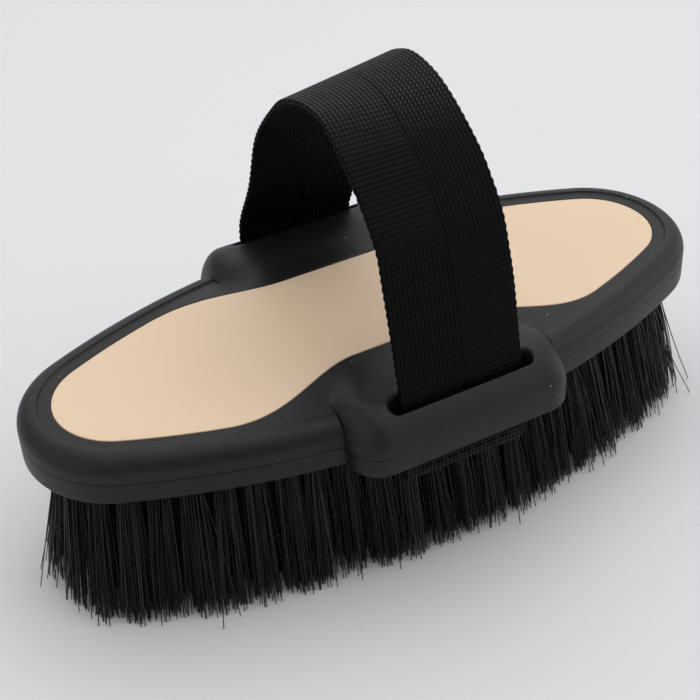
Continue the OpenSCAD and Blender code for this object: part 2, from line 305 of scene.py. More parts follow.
outline = [Vector((sign_x * station.x, sign_y * station.y)) for station, sign_x, sign_y in back_edge]
plate_rings = []
round_steps = 5
for i in range(round_steps + 1):
    turn = math.pi / 2 * i / round_steps
    ring_z = underside + plate_edge_round * (1 - math.sin(turn))
    ring_line = inset_outline(outline, plate_edge_round * (1 - math.cos(turn)))
    ring = [(p.x, p.y, ring_z - end_droop * ease((abs(p.x) - droop_start) / droop_run)) for p in ring_line]
    plate_rings.insert(0, ring)
plate_rings.append([(p.x, p.y, parting - parting_chamfer) for p in outline])
plate_rings.append([(p.x, p.y, parting) for p in inset_outline(outline, parting_chamfer)])
plate_points = [point for ring in plate_rings for point in ring]
lower_moulding = new_piece("lower_moulding", plate_points,
                           ring_faces(len(outline), len(plate_rings), False), moulded_plastic())
cut_slots(lower_moulding, lambda x, y: parting + slot_clear)
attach(lower_moulding, "brush")
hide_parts("base_plate")


# Flat wire anchors. Each is a short piece of bright steel wire that is driven into its hole over
# the fold of a tuft, so they lie inside the plate and none of them shows.
wire_bright = (0.60, 0.60, 0.62, 1)
wire_dull = (0.42, 0.42, 0.45, 1)


def drawn_wire():
    """Bright drawn steel with faint streaks."""
    material, start = new_finish("drawn_steel_wire")
    place = start.node("ShaderNodeTexCoord", out="Object")
    streaks = noise(start, place, size=0.4 * MM)
    shine(start, streaks.colours(wire_bright, wire_dull), roughness=0.25 + 0.2 * streaks,
          constants={"Metallic": 1.0})
    return material


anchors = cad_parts["tuft_anchors"]
anchors.data.materials.clear()
anchors.data.materials.append(drawn_wire())


# Bristles. Six rows of tufts, counted from the edge, each a bundle of stiff black nylon filaments
# folded over its anchor. They fan out of their holes, lean outwards and are trimmed to one height.
row_inset = 10.8 * MM
rows_to_middle = 5.2
row_pitch = (half_width - row_inset) / rows_to_middle
tuft_pitch = 8.4 * MM
tuft_root = 0.5 * MM
filament_taper = 0.28
# Lean of the outer row at its tips, along and across the brush. It fades row by row towards the middle,
# apart from the drift and the set at both ends, which all rows share
end_lean = 7.5 * MM
side_lean = 6.6 * MM
left_lean = 1.8 * MM
left_lean_start = 30 * MM
left_lean_run = 30 * MM
lean_drift = 0.8 * MM
end_set = 1 * MM
end_set_start = 80 * MM
end_set_run = 15 * MM
lean_middle = 5 * MM
lean_turn = 14 * MM
row_count = 6
least_end_share = 0.42
bristle_black = (0.0045, 0.0045, 0.0048, 1)
bristle_grey = (0.036, 0.036, 0.0365, 1)


def synthetic_bristle():
    """Black nylon whose tone differs from filament to filament."""
    material, start = new_finish("black_nylon_bristle")
    tone = start.node("ShaderNodeAttribute", {"attribute_name": "tone"}, out="Fac")
    place = start.node("ShaderNodeTexCoord", out="Object")
    streak = noise(start, place, size=3 * MM)
    colour = (tone * tone * tone).colours(bristle_black, bristle_grey)
    shine(start, colour, roughness=0.34 + 0.15 * streak, constants={"Specular IOR Level": 0.34})
    return material


def oval_places(a, b, r, spacing):
    """Places and outward angles spaced evenly round an oval of half length a, half width b, end radius r."""
    big = ((a - r) ** 2 + b * b - r * r) / (2 * (b - r))
    turn = math.atan2(big - b, a - r)
    end_arc = turn * r
    side_arc = (math.pi - 2 * turn) * big
    # Centre, radius, first angle and length of each arc, from the tip at +X round to it again
    arcs = [((a - r, 0), r, 0, end_arc), ((0, b - big), big, turn, side_arc),
            ((r - a, 0), r, math.pi - turn, 2 * end_arc), ((0, big - b), big, math.pi + turn, side_arc),
            ((a - r, 0), r, -turn, end_arc)]
    total = sum(arc[3] for arc in arcs)
    count = round(total / spacing)
    places = []
    for i in range(count):
        left = total * (i + 0.5) / count
        for (x, y), radius, first, length in arcs:
            if left <= length:
                angle = first + left / radius
                places.append((x + radius * math.cos(angle), y + radius * math.sin(angle), angle))
                break
            left -= length
    return places


def tuft_places(row):
    """Places and outward angles of one row's tufts."""
    depth = row_inset + (row - 1) * row_pitch
    a, b = half_length - depth, half_width - depth
    if row < row_count:
        return oval_places(a, b, max(end_radius - depth, least_end_share * b), tuft_pitch)
    reach = math.floor(a / tuft_pitch)
    return [(i * tuft_pitch, 0, math.pi / 2) for i in range(-reach, reach + 1)]


def size_tree(name, sizes):
    """A Geometry Nodes tree with one named input for each size, and sockets for all its inputs."""
    tree = bpy.data.node_groups.new(name, "GeometryNodeTree")
    tree.interface.new_socket("Geometry", in_out="INPUT", socket_type="NodeSocketGeometry")
    tree.interface.new_socket("Geometry", in_out="OUTPUT", socket_type="NodeSocketGeometry")
    for label, value in sizes.items():
        kind = "NodeSocketInt" if isinstance(value, int) else "NodeSocketFloat"
        tree.interface.new_socket(label, in_out="INPUT", socket_type=kind)
    entry = tree.nodes.new("NodeGroupInput")
    return tree, {socket.name: Sock(tree, socket) for socket in entry.outputs if socket.name}


def end_tree(geometry, material):
    """Close a tree with realized instances, smooth faces and a material."""
    whole = geometry.node("GeometryNodeRealizeInstances", None, {"Geometry": geometry})
    smooth = whole.node("GeometryNodeSetShadeSmooth", None, {"Geometry": whole})
    dressed = smooth.node("GeometryNodeSetMaterial", None, {"Geometry": smooth, "Material": material})
    dressed.node("NodeGroupOutput", None, {"Geometry": dressed})


def grown(piece, tree, sizes):
    """Turn an object into the plain mesh that a tree makes of it with the given sizes."""
    modifier = piece.modifiers.new(tree.name, "NODES")
    modifier.node_group = tree
    for item in tree.interface.items_tree:
        if item.in_out == "INPUT" and item.name in sizes:
            modifier[item.identifier] = sizes[item.name]
    mesh = bpy.data.meshes.new_from_object(piece.evaluated_get(bpy.context.evaluated_depsgraph_get()))
    piece.modifiers.clear()
    piece.data = mesh
    return piece


tuft_sizes = {"Filaments": 74, "Hole radius": 1.9 * MM, "Hole along": 2.9 * MM, "Fan": 1.7 * MM,
              "Fan along": 1.2 * MM, "End fan": 2.4 * MM, "Loose": 2.1 * MM,
              "Length": underside + tuft_root, "Unevenness": 0.05, "Stray share": 0.03,
              "Stray reach": 4.5 * MM, "Tuft sway": 1.0 * MM, "Filament width": 0.46 * MM, "Seed": 1}


def filament_tree(material):
    """Makes a bundle of leaning, slightly curved filaments hang from each tuft's point."""
    tree, size = size_tree("tuft_filaments", tuft_sizes)
    start = size["Geometry"]

    def chance(low, high, seed, kind="FLOAT"):
        # Sockets of all kinds share their names, so these are the places of the least value and the result
        first, out = {"FLOAT": (2, 1), "FLOAT_VECTOR": (0, 0)}[kind]
        inputs = {first: low, first + 1: high, "Seed": size["Seed"] + seed}
        return start.node("FunctionNodeRandomValue", {"data_type": kind}, inputs, out=out)

    def stored(geometry, name, value, kind="FLOAT"):
        inputs = {"Geometry": geometry, "Name": name, "Value": value}
        return start.node("GeometryNodeStoreNamedAttribute", {"data_type": kind}, inputs)

    def named(name, kind="FLOAT"):
        return start.node("GeometryNodeInputNamedAttribute", {"data_type": kind}, {"Name": name})

    def flat(x, y, z=0.0):
        return start.node("ShaderNodeCombineXYZ", None, {"X": x, "Y": y, "Z": z})

    sway = chance((-1, -1, 0), (1, 1, 0), 1, "FLOAT_VECTOR").vector("SCALE", size["Tuft sway"])
    tufts = stored(start, "lean", named("reach", "FLOAT_VECTOR").vector("ADD", sway), "FLOAT_VECTOR")
    copies = {"Geometry": tufts, "Amount": size["Filaments"]}
    bundle = start.node("GeometryNodeDuplicateElements", None, copies)

    angle = chance(0.0, 2 * math.pi, 2)
    share = chance(0.0, 1.0, 3).math("SQRT")
    disc = flat(share * angle.math("COSINE"), share * angle.math("SINE"))
    at = start.node("GeometryNodeInputPosition")
    outward = disc.vector("DOT_PRODUCT", named("out", "FLOAT_VECTOR"))
    out = named("out", "FLOAT_VECTOR").vector("SCALE", outward)
    side = disc.vector("SUBTRACT", out)
    hole = out.vector("SCALE", size["Hole radius"]).vector("ADD", side.vector("SCALE", size["Hole along"]))
    root = at.vector("ADD", hole)
    loose = chance(0.0, 1.0, 4).math("LESS_THAN", size["Stray share"])
    jitter = chance((-1, -1, 0), (1, 1, 0), 5, "FLOAT_VECTOR")
    spread = jitter.vector("SCALE", size["Loose"] + loose * size["Stray reach"])
    endways = start.node("ShaderNodeSeparateXYZ", None, {"Vector": named("out", "FLOAT_VECTOR")}, out="X")
    fan_along = side.vector("SCALE", size["Fan along"] + size["End fan"] * endways * endways)
    fan = out.vector("SCALE", size["Fan"]).vector("ADD", fan_along)
    tip = named("lean", "FLOAT_VECTOR").vector("ADD", fan).vector("ADD", spread)
    trim = chance(0.0, 1.0, 6)
    bundle = stored(bundle, "root", root, "FLOAT_VECTOR")
    bundle = stored(bundle, "tip", tip, "FLOAT_VECTOR")
    bundle = stored(bundle, "drop", size["Length"] * (1 - size["Unevenness"] * trim * trim))
    bundle = stored(bundle, "curl", chance(-0.5, 0.5, 7))
    bundle = stored(bundle, "tone", chance(0.0, 1.0, 8))

    rod = start.node("GeometryNodeMeshCylinder", None,
                     {"Vertices": 3, "Side Segments": 5, "Radius": 1.0, "Depth": 1.0})
    placed = start.node("GeometryNodeSetPosition", None, {"Geometry": bundle, "Position": flat(0.0, 0.0)})
    rods = start.node("GeometryNodeInstanceOnPoints", None, {"Points": placed, "Instance": rod})
    whole = start.node("GeometryNodeRealizeInstances", None, {"Geometry": rods})

    x, y, z = [start.node("ShaderNodeSeparateXYZ", None, {"Vector": at}, out=axis) for axis in "XYZ"]
    down = 0.5 - z
    thick = 0.5 * size["Filament width"] * (1 - filament_taper * down)
    bend = down + named("curl") * down * (down - 1)
    middle = named("root", "FLOAT_VECTOR").vector("ADD", named("tip", "FLOAT_VECTOR").vector("SCALE", bend))
    place = middle.vector("ADD", flat(x * thick, y * thick, 0 - down * named("drop")))
    bent = start.node("GeometryNodeSetPosition", None, {"Geometry": whole, "Position": place})
    end_tree(bent, material)
    return tree


bristle_finish = synthetic_bristle()
bristle_tree = filament_tree(bristle_finish)
for row in range(1, row_count + 1):
    places = tuft_places(row)
    tuft_mesh = bpy.data.meshes.new(f"bristle_row_{row}")
    tuft_mesh.from_pydata([(x, y, underside + tuft_root) for x, y, angle in places], [], [])
    lean = (row_count - row) / (row_count - 1)
    outward = [value for x, y, angle in places for value in (math.cos(angle), math.sin(angle), 0)]
    tuft_mesh.attributes.new("out", "FLOAT_VECTOR", "POINT").data.foreach_set("vector", outward)
    reaches = []
    for x, y, angle in places:
        sideways = side_lean + left_lean * ease((-x - left_lean_start) / left_lean_run)
        turned = min(max((y - lean_middle) / lean_turn, -1), 1)
        lengthways = lean_drift - end_set * ease((abs(x) - end_set_start) / end_set_run)
        reaches += [lean * end_lean * x / half_length + lengthways, lean * sideways * turned, 0]
    tuft_mesh.attributes.new("reach", "FLOAT_VECTOR", "POINT").data.foreach_set("vector", reaches)
    bristles = bpy.data.objects.new(f"bristle_row_{row}", tuft_mesh)
    bpy.context.scene.collection.objects.link(bristles)
    grown(bristles, bristle_tree, dict(tuft_sizes, Seed=10 * row))
    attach(bristles, "brush")
    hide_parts(f"tuft_row_{row}")


# Rubber frame. One soft black rubber moulding round the edge of the back: a raised bead outside, a
# small step, a field that rises between the ears, and an ear with a ramp and a full round on each side.
field_z = underside + 12.9 * MM
hill_rise = 3.4 * MM
hill_flat = 18 * MM
hill_reach = 60 * MM
waist_half = 22 * MM
bead_width = 6.1 * MM
bead_radius = 5.4 * MM
bead_rise = 0.6 * MM
bead_step = 0.4 * MM
ear_z = underside + 18 * MM
ear_round_width = 11.3 * MM
ear_round_height = 9.5 * MM
ear_fullness = 1.7
# Each end of an ear's pad is set in towards the inlay, stands out over the bead and rises in a dome
pad_inset = 1.2 * MM
pad_outset = 2 * MM
pad_turn = (30 * MM, 43 * MM)
corner_reach = 18 * MM
dome_power = 0.7
end_share = 0.55
ear_ramp = 11 * MM
ramp_foot = 26.5 * MM
ear_foot = 37.9 * MM
field_blend = 14 * MM
field_edge = 0.35 * MM
field_edge_turn = 0.1 * MM
seam = 0.12 * MM
rubber_black = (0.0055, 0.0055, 0.0058, 1)
rubber_grey = (0.0105, 0.0105, 0.0108, 1)
dust_grey = (0.30, 0.29, 0.28, 1)
dust_spacing = 5 * MM
# A cell holds a speck where its random value passes dust_pick, and the speck fades out over dust_size
dust_pick = (0.78, 0.80)
dust_size = (0.03, 0.055)


def hill_z(x):
    """Height of the inlay and of the frame beside it at x: the back rises between the ears."""
    return field_z + hill_rise * (1 - ease((abs(x) - hill_flat) / (hill_reach - hill_flat)))


def inlay_half(x):
    """Half width of the inlay at x: the oval inside the margin, drawn in to a waist."""
    small_end = end_radius - inlay_margin
    if abs(x) < end_x + small_end * math.cos(end_turn):
        lobe = math.sqrt((side_radius - inlay_margin) ** 2 - x * x) - (side_radius - half_width)
    else:
        lobe = math.sqrt(max(small_end ** 2 - (abs(x) - end_x) ** 2, 0))
    return mix(waist_half, lobe, ease((abs(x) - hill_flat) / (hill_reach - hill_flat)))


def inner_place(station):
    """The place on the inlay's edge across from a station."""
    if station.turn is None:
        return Vector((station.inner_x, inlay_half(station.inner_x)))
    reach = end_radius - inlay_margin
    return Vector((end_x + reach * math.cos(station.turn), reach * math.sin(station.turn)))


def ear_drop(inset, wide, high, fullness):
    """How far the rounded edge lies below its crest at a distance from the outer face."""
    left = max(1 - inset / wide, 0)
    return high * (1 - (1 - left ** fullness) ** (1 / fullness))


def ear_top(x, y):
    """Top of an ear before its outer edge is rounded: a pad with a ramp towards the inlay and domed ends."""
    inner = inlay_half(x)
    field = mix(hill_z(x), field_z, min(max((y - inner) / (ear_foot - inner), 0), 1))
    base = mix(hill_z(x), field, ease((x - ear_half) / field_blend + 1))
    outer = ease((y - pad_turn[0]) / (pad_turn[1] - pad_turn[0]))
    across = max(x - ear_half - mix(-pad_inset, pad_outset, outer) + corner_reach, 0) / corner_reach
    inwards = max(ramp_foot + ear_ramp - y, 0) / ear_ramp
    turn = math.atan2(across, inwards) * 2 / math.pi
    rise = (1 - math.hypot(across, inwards)) / mix(1, end_share, ease(turn))
    return base + max(ear_z - base, 0) * ease(max(rise, 0) ** mix(1, dome_power, turn))


def slot_top(x, y):
    """Height of the finished ear where a slot passes through it."""
    return ear_top(abs(x), y) - ear_drop(ear_face - y, ear_round_width, ear_round_height, ear_fullness)


def frame_section(station):
    """Points over the frame at one station, from the parting line outside to the inlay's edge."""
    outer, inner = Vector((station.x, station.y)), inner_place(station)
    span = (inner - outer).length
    wide = mix(bead_radius, ear_round_width, station.ear)
    high = mix(bead_radius, ear_round_height, station.ear)
    fullness = mix(2, ear_fullness, station.ear)
    bead_end = wide + bead_width - bead_radius
    field_start = bead_end + bead_step
    bead_steps = 12
    step_shares = (0.35, 0.58, 0.68, 0.8, 0.92, 1)
    field_steps = 9
    insets = [wide * (1 - math.cos(math.pi / 2 * i / bead_steps)) for i in range(bead_steps + 1)]
    insets += [mix(wide, field_start, share) for share in step_shares]
    insets += [mix(field_start, span, i / field_steps) for i in range(1, field_steps)]
    insets += [span - field_edge, span - field_edge_turn, span]
    points = []
    for inset in insets:
        place = outer.lerp(inner, inset / span)
        field = mix(field_z, hill_z(inner.x), max(inset - field_start, 0) / (span - field_start))
        rim = field + bead_rise * (1 - ease((inset - bead_end + bead_step / 2) / (1.5 * bead_step)))
        top = mix(rim, ear_top(place.x, place.y), station.ear)
        past_edge = max(inset - span + field_edge, 0)
        drop = ear_drop(inset, wide, high, fullness) + past_edge * past_edge / (2 * field_edge)
        points.append((place.x, place.y, top - drop))
    chamfer = outer.lerp(inner, parting_chamfer / span)
    foot = [(chamfer.x, chamfer.y, parting), (outer.x, outer.y, parting + parting_chamfer)]
    return foot + points + [(inner.x, inner.y, parting)]


def soft_rubber():
    """Soft black rubber with a fine grain and a few specks of dust."""
    material, start = new_finish("soft_black_rubber")
    place = start.node("ShaderNodeTexCoord", out="Object")
    cloud = noise(start, place, size=22 * MM, detail=3.0)
    grain = noise(start, place, size=0.28 * MM)
    cells = {"Vector": place, "Scale": 1 / dust_spacing}
    near = start.node("ShaderNodeTexVoronoi", None, cells, out="Distance")
    pick = start.node("ShaderNodeTexVoronoi", None, cells, out="Color")
    chosen = start.node("ShaderNodeSeparateColor", None, {"Color": pick}).between(*dust_pick)
    speck = chosen * (1 - near.between(*dust_size))
    body = cloud.colours(rubber_black, rubber_grey)
    shine(start, speck.colours(body, dust_grey), roughness=0.38 + 0.16 * grain,
          height=grain, depth=0.03 * MM, constants={"Specular IOR Level": 0.29})
    return material


sections = []
for station, sign_x, sign_y in back_edge:
    sections.append([(sign_x * x, sign_y * y, z) for x, y, z in frame_section(station)])
frame_points = [section[row] for row in range(len(sections[0])) for section in sections]
rubber_frame = new_piece("rubber_frame", frame_points,
                         ring_faces(len(sections), len(sections[0]), True), soft_rubber())
cut_slots(rubber_frame, slot_top)
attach(rubber_frame, "brush")
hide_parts("top_frame")


# Beige inlay. A satin plastic panel with a drawn-in waist, bent to the rise of the back and pressed
# into the frame, with its top flush and its edge just broken so that a fine dark seam shows.
inlay_thickness = 2.2 * MM
inlay_edge = 0.3 * MM
edge_steps = 4
strips = 12
beige_light = (0.775, 0.592, 0.422, 1)
beige_warm = (0.760, 0.576, 0.406, 1)


def satin_beige():
    """Satin beige plastic with a barely clouded tone."""
    material, start = new_finish("satin_beige_plastic")
    place = start.node("ShaderNodeTexCoord", out="Object")
    cloud = noise(start, place, size=30 * MM, detail=3.0)
    grain = noise(start, place, size=0.25 * MM)
    shine(start, cloud.colours(beige_light, beige_warm), roughness=0.40 + 0.12 * grain,
          height=grain, depth=0.008 * MM, constants={"Specular IOR Level": 0.25})
    return material


inlay_line = []
for station, sign_x, sign_y in back_edge:
    inner = inner_place(station)
    inlay_line.append(Vector((sign_x * inner.x, sign_y * inner.y)))
inlay_rings = [[(p.x, p.y, hill_z(p.x) - inlay_thickness) for p in inset_outline(inlay_line, seam)]]
for i in range(edge_steps + 1):
    turn = math.pi / 2 * i / edge_steps
    line = inset_outline(inlay_line, seam + inlay_edge * (1 - math.cos(turn)))
    inlay_rings.append([(p.x, p.y, hill_z(p.x) - inlay_edge * (1 - math.sin(turn))) for p in line])
count = len(inlay_line)
inlay_points = [point for ring in inlay_rings for point in ring]
inlay_faces = ring_faces(count, len(inlay_rings), False)[:-2]
for ring in (0, len(inlay_rings) - 1):
    first = ring * count
    rows = [[first] * (strips + 1)]
    for i in range(1, count // 2):
        near, far = first + i, first + count - i
        row = [near]
        for k in range(1, strips):
            across = Vector(inlay_points[near]).lerp(Vector(inlay_points[far]), k / strips)
            row.append(len(inlay_points))
            inlay_points.append(tuple(across))
        rows.append(row + [far])
    rows.append([first + count // 2] * (strips + 1))
    for a, b in zip(rows, rows[1:]):
        for k in range(strips):
            corners = [a[k], a[k + 1], b[k + 1], b[k]]
            inlay_faces.append(tuple(dict.fromkeys(corners)))
beige_inlay = new_piece("beige_inlay", inlay_points, inlay_faces, satin_beige())
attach(beige_inlay, "brush")
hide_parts("inlay_panel")


# Hand strap. One length of heavy black webbing, woven in two panels, which passes down through both
# slots. Each end is folded twice below its ear and sewn, so that it can't pull back through.
strap_width = 38 * MM
hem_fold = 1.9 * MM
hem_outer = 49.95 * MM
hem_top = underside - 3.9 * MM
hem_low = underside - 7.8 * MM
hem_tilt = 0.5 * MM
fold_steps = 8
loop_steps = 10
# Places of the loop's middle line in mm across the brush and above the underside, each with the shift
# of its right edge, because the loop stands a little twisted
loop_shape = [(-48.1, -6, 0, 0), (-48.1, 2, 0, 0), (-48.1, 16, 0, 0), (-46.6, 25, -0.2, 0),
              (-43.4, 40.5, -0.5, 0), (-40.9, 49.8, -0.3, 0), (-39.0, 56.4, 0, 0), (-36.9, 60.1, 0, 0),
              (-33.6, 64.6, 0, 0), (-26.9, 72, 0, 0), (-14.0, 81.7, 0, -0.7), (-3.0, 84.4, 0, 0.8),
              (8.7, 82.7, 0, 2.4), (19.6, 75.8, 2.4, 1.6), (31.2, 60.2, 1.4, 0), (38.3, 41, 0.5, 0),
              (45.6, 25.5, -1.2, 0), (48.3, 17, -0.5, 0), (48.2, 2, -0.3, 0), (48.1, -6, -0.3, 0)]
# Colours of the webbing's hollows and yarn tops: the tops are painted lighter and the hollows darker, as
# painted light and shade
warp_black = (0.0009, 0.0009, 0.0010, 1)
warp_grey = (0.0037, 0.0037, 0.0039, 1)
# Lighter colours for the painted sheen: a highlight painted where light grazes the crest and lights the hems
sheen_black = (0.001, 0.001, 0.0011, 1)
sheen_grey = (0.036, 0.036, 0.0363, 1)
warp_count = 31
warp_pitch = strap_width / warp_count
float_length = 1.38 * MM
# Share of the floats and of the slant in the height of the weave, and how far the plain panel's ribs fade
float_share = 0.5
slant_share = 0.7
rib_fade = 0.9
weave_range = 1.4
panel_change = 78 * MM
panel_blend = 1.5 * MM
panel_line = 0.01 * MM
panel_groove = (0.25 * MM, 0.55 * MM)
# Distances from the crest, and from the ends of the strap, at which the painted sheen of light on the crest
# and the hems starts and at which it is full
crest_sheen = (27 * MM, 5 * MM)
hem_sheen = (18 * MM, 16 * MM)
hem_sheen_share = 0.5
profile_points = 191
corner_round = 0.42
selvedge_from = 0.475
selvedge_full = 0.498
strap_sizes = {"Width": strap_width, "Thickness": 1.5 * MM, "Step": 0.6 * MM, "Warp pitch": warp_pitch,
               "Yarn height": 0.05 * MM, "Selvedge pitch": 2.4 * MM, "Selvedge depth": 0.16 * MM}


def smooth_point(a, b, c, d, share):
    """A point of the smooth curve through b and c, with a and d as its neighbours."""
    bend = (2 * a - 5 * b + 4 * c - d) * share ** 2 + (3 * b - a - 3 * c + d) * share ** 3
    return (2 * b + (c - a) * share + bend) / 2


def half_turn(centre_y, centre_z, radius, first):
    """Points of a fold that turns through half a circle, from the angle first on."""
    points = []
    for i in range(1, fold_steps):
        turn = first + math.pi * i / fold_steps
        points.append(Vector((0, centre_y + radius * math.cos(turn), centre_z + radius * math.sin(turn))))
    return points


def hem_line():
    """Middle line of the rear hem, from below the ear down, up and down again towards the bristles."""
    fold = hem_fold / 2
    line = [Vector((0, hem_outer, hem_top)), Vector((0, hem_outer, hem_low))]
    line += [Vector((0, 2 * (hem_outer - fold) - p.y, p.z)) for p in
             half_turn(hem_outer - fold, hem_low, fold, math.pi)]
    line.append(Vector((0, hem_outer - hem_fold, hem_low)))
    line.append(Vector((0, hem_outer - hem_fold, hem_top)))
    line += half_turn(hem_outer - 3 * fold, hem_top, fold, 0)
    line.append(Vector((0, hem_outer - 2 * hem_fold, hem_top)))
    line.append(Vector((0, hem_outer - 2 * hem_fold, hem_low)))
    return line


def ribs(across, warp):
    """Rise and fall, -1 to 1, of the lengthwise ribs that the warp yarns make on the webbing."""
    column = across * (2 * math.pi) / warp
    return column.math("COSINE")


def weave(across, along, painted_sheen):
    """Height of the woven face, 0 to 1: ribs that the weft cuts into floats, in two panels with a groove
    between them. The bold panel has slanted floats, and the other shows its ribs only under the painted
    sheen on the crest and the hems. The two change places part of the way up the front."""
    row = along * (2 * math.pi) / float_length
    column = across * (2 * math.pi) / warp_pitch
    middle = across - 0.5 * warp_pitch
    right = middle.between(-panel_line, panel_line)
    low = along.between(panel_change + panel_blend, panel_change - panel_blend)
    bold = right + low - 2 * right * low
    slant = row + (1 - 2 * right) * column
    face = (1 - rib_fade * (1 - bold) * (1 - painted_sheen)) * ribs(across, warp_pitch)
    face = face + float_share * row.math("COSINE") + slant_share * bold * slant.math("COSINE")
    return face.between(-weave_range, weave_range) * abs(middle).between(*panel_groove)


def webbing_tree(material):
    """Sweeps the webbing along its twisted middle line, with woven ribs and looped edges."""
    tree, size = size_tree("woven_webbing", strap_sizes)
    start = size["Geometry"]

    def stored(geometry, name, value):
        inputs = {"Geometry": geometry, "Name": name, "Value": value}
        return start.node("GeometryNodeStoreNamedAttribute", None, inputs)

    def named(name, kind="FLOAT"):
        return start.node("GeometryNodeInputNamedAttribute", {"data_type": kind}, {"Name": name})

    line = start.node("GeometryNodeMeshToCurve", None, {"Mesh": start})
    spacing = {"Curve": line, "Length": size["Step"]}
    line = start.node("GeometryNodeResampleCurve", {"mode": "LENGTH"}, spacing)
    line = start.node("GeometryNodeSetCurveNormal", {"mode": "FREE"}, {"Curve": line, "Normal": (1, 0, 0)})
    line = stored(line, "along", start.node("GeometryNodeSplineParameter", out="Length"))
    profile = start.node("GeometryNodeCurvePrimitiveQuadrilateral", None,
                         {"Width": size["Width"], "Height": size["Thickness"]})
    profile = start.node("GeometryNodeFilletCurve", {"mode": "POLY"},
                         {"Curve": profile, "Count": 3, "Radius": size["Thickness"] * corner_round})
    profile = start.node("GeometryNodeResampleCurve", None, {"Curve": profile, "Count": profile_points})
    at = start.node("GeometryNodeInputPosition")
    profile = stored(profile, "across", start.node("ShaderNodeSeparateXYZ", None, {"Vector": at}, out="X"))
    sweep = {"Curve": line, "Profile Curve": profile, "Fill Caps": True}
    band = start.node("GeometryNodeCurveToMesh", None, sweep)

    across, along = named("across"), named("along")
    edge = abs(across).between(selvedge_from * size["Width"], selvedge_full * size["Width"])
    wave = along * (2 * math.pi) / size["Selvedge pitch"]
    side = across.math("SIGN")
    loop = (wave + side).math("SINE")
    normal = start.node("GeometryNodeInputNormal")
    lift = size["Yarn height"] * (1 - edge) * (0.5 + 0.5 * ribs(across, size["Warp pitch"]))
    out = start.node("ShaderNodeCombineXYZ", None, {"X": side * edge * size["Selvedge depth"] * loop})
    twist = named("skew", "FLOAT_VECTOR").vector("SCALE", across / (0.5 * size["Width"]))
    shift = normal.vector("SCALE", lift).vector("ADD", out).vector("ADD", twist)
    moved = start.node("GeometryNodeSetPosition", None, {"Geometry": band, "Offset": shift})
    end_tree(moved, material)
    return tree


def black_webbing():
    """Black yarn, painted greyer on top of the weave, with a painted sheen where light falls on the crest
    and the hems.
    """
    material, start = new_finish("black_woven_webbing")
    across = start.node("ShaderNodeAttribute", {"attribute_name": "across"}, out="Fac")
    along = start.node("ShaderNodeAttribute", {"attribute_name": "along"}, out="Fac")
    half = strap_length / 2
    # Painted sheen: the crest and both hems are painted greyer, standing in for the light that falls on them
    hem_sheen_mask = abs(along - half).between(half - hem_sheen[0], half - hem_sheen[1])
    painted_sheen = abs(along - crest_along).between(*crest_sheen) + hem_sheen_share * hem_sheen_mask
    height = weave(across, along, painted_sheen)
    # The colour follows the weave's height: yarn tops painted lighter as a painted highlight, hollows
    # painted darker as painted shade
    tone = height * (0.4 + 0.6 * height)
    colour = painted_sheen.colours(tone.colours(warp_black, warp_grey), tone.colours(sheen_black, sheen_grey))
    shine(start, colour, roughness=0.60 - 0.1 * tone, height=height, depth=0.28 * MM,
          constants={"Specular IOR Level": 0.07})
    return material


loop_places = [Vector((y, underside / MM + z, dy, dz)) * MM for y, z, dy, dz in loop_shape]
strap_curve = []
for i in range(1, len(loop_places) - 2):
    strap_curve += [smooth_point(*loop_places[i - 1:i + 3], k / loop_steps) for k in range(loop_steps)]
strap_curve.append(loop_places[-2])
rear_hem = hem_line()
front_hem = [Vector((0, -p.y, p.z)) for p in reversed(rear_hem)]
strap_line = front_hem + [Vector((0, place[0], place[1])) for place in strap_curve] + rear_hem
crest_at = max(range(len(strap_line)), key=lambda i: strap_line[i].z)
steps = [(b - a).length for a, b in zip(strap_line, strap_line[1:])]
crest_along = sum(steps[:crest_at])
strap_length = sum(steps)
strap_mesh = bpy.data.meshes.new("hand_strap_webbing")
strap_mesh.from_pydata(strap_line, [(i, i + 1) for i in range(len(strap_line) - 1)], [])
skewing = strap_mesh.attributes.new("skew", "FLOAT_VECTOR", "POINT")
for i, place in enumerate(strap_curve):
    skewing.data[len(front_hem) + i].vector = (0, place[2], place[3])
for i in range(len(front_hem)):
    skewing.data[i].vector = (0, 0, -hem_tilt)
strap = bpy.data.objects.new("hand_strap_webbing", strap_mesh)
bpy.context.scene.collection.objects.link(strap)
webbing_finish = black_webbing()
grown(strap, webbing_tree(webbing_finish), strap_sizes)
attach(strap, "strap")
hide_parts("hand_strap")


# Hem stitches. A row of black lock stitches across each folded hem, on both of its faces, where the
# thread rises out of the webbing and dips back into it.
stitch_sizes = {"Stitches": 7, "Pitch": 4.2 * MM, "Length": 2.8 * MM, "Thread": 0.45 * MM, "Rise": 0.12 * MM}
thread_black = (0.003, 0.003, 0.0032, 1)
thread_grey = (0.010, 0.010, 0.0103, 1)
stitch_z = (hem_top + hem_low) / 2
stitch_offset = 0.9 * MM
thread_twist = 2 * MM


def sewing_thread():
    """Twisted black thread."""
    material, start = new_finish("black_sewing_thread")
    place = start.node("ShaderNodeTexCoord", out="Object")
    twist = start.node("ShaderNodeTexWave", {"bands_direction": "DIAGONAL"},
                       {"Vector": place, "Scale": 1 / thread_twist, "Distortion": 1.0}, out="Fac")
    shine(start, twist.colours(thread_black, thread_grey), roughness=0.55 + 0.1 * twist,
          height=twist, depth=0.05 * MM, constants={"Specular IOR Level": 0.1})
    return material


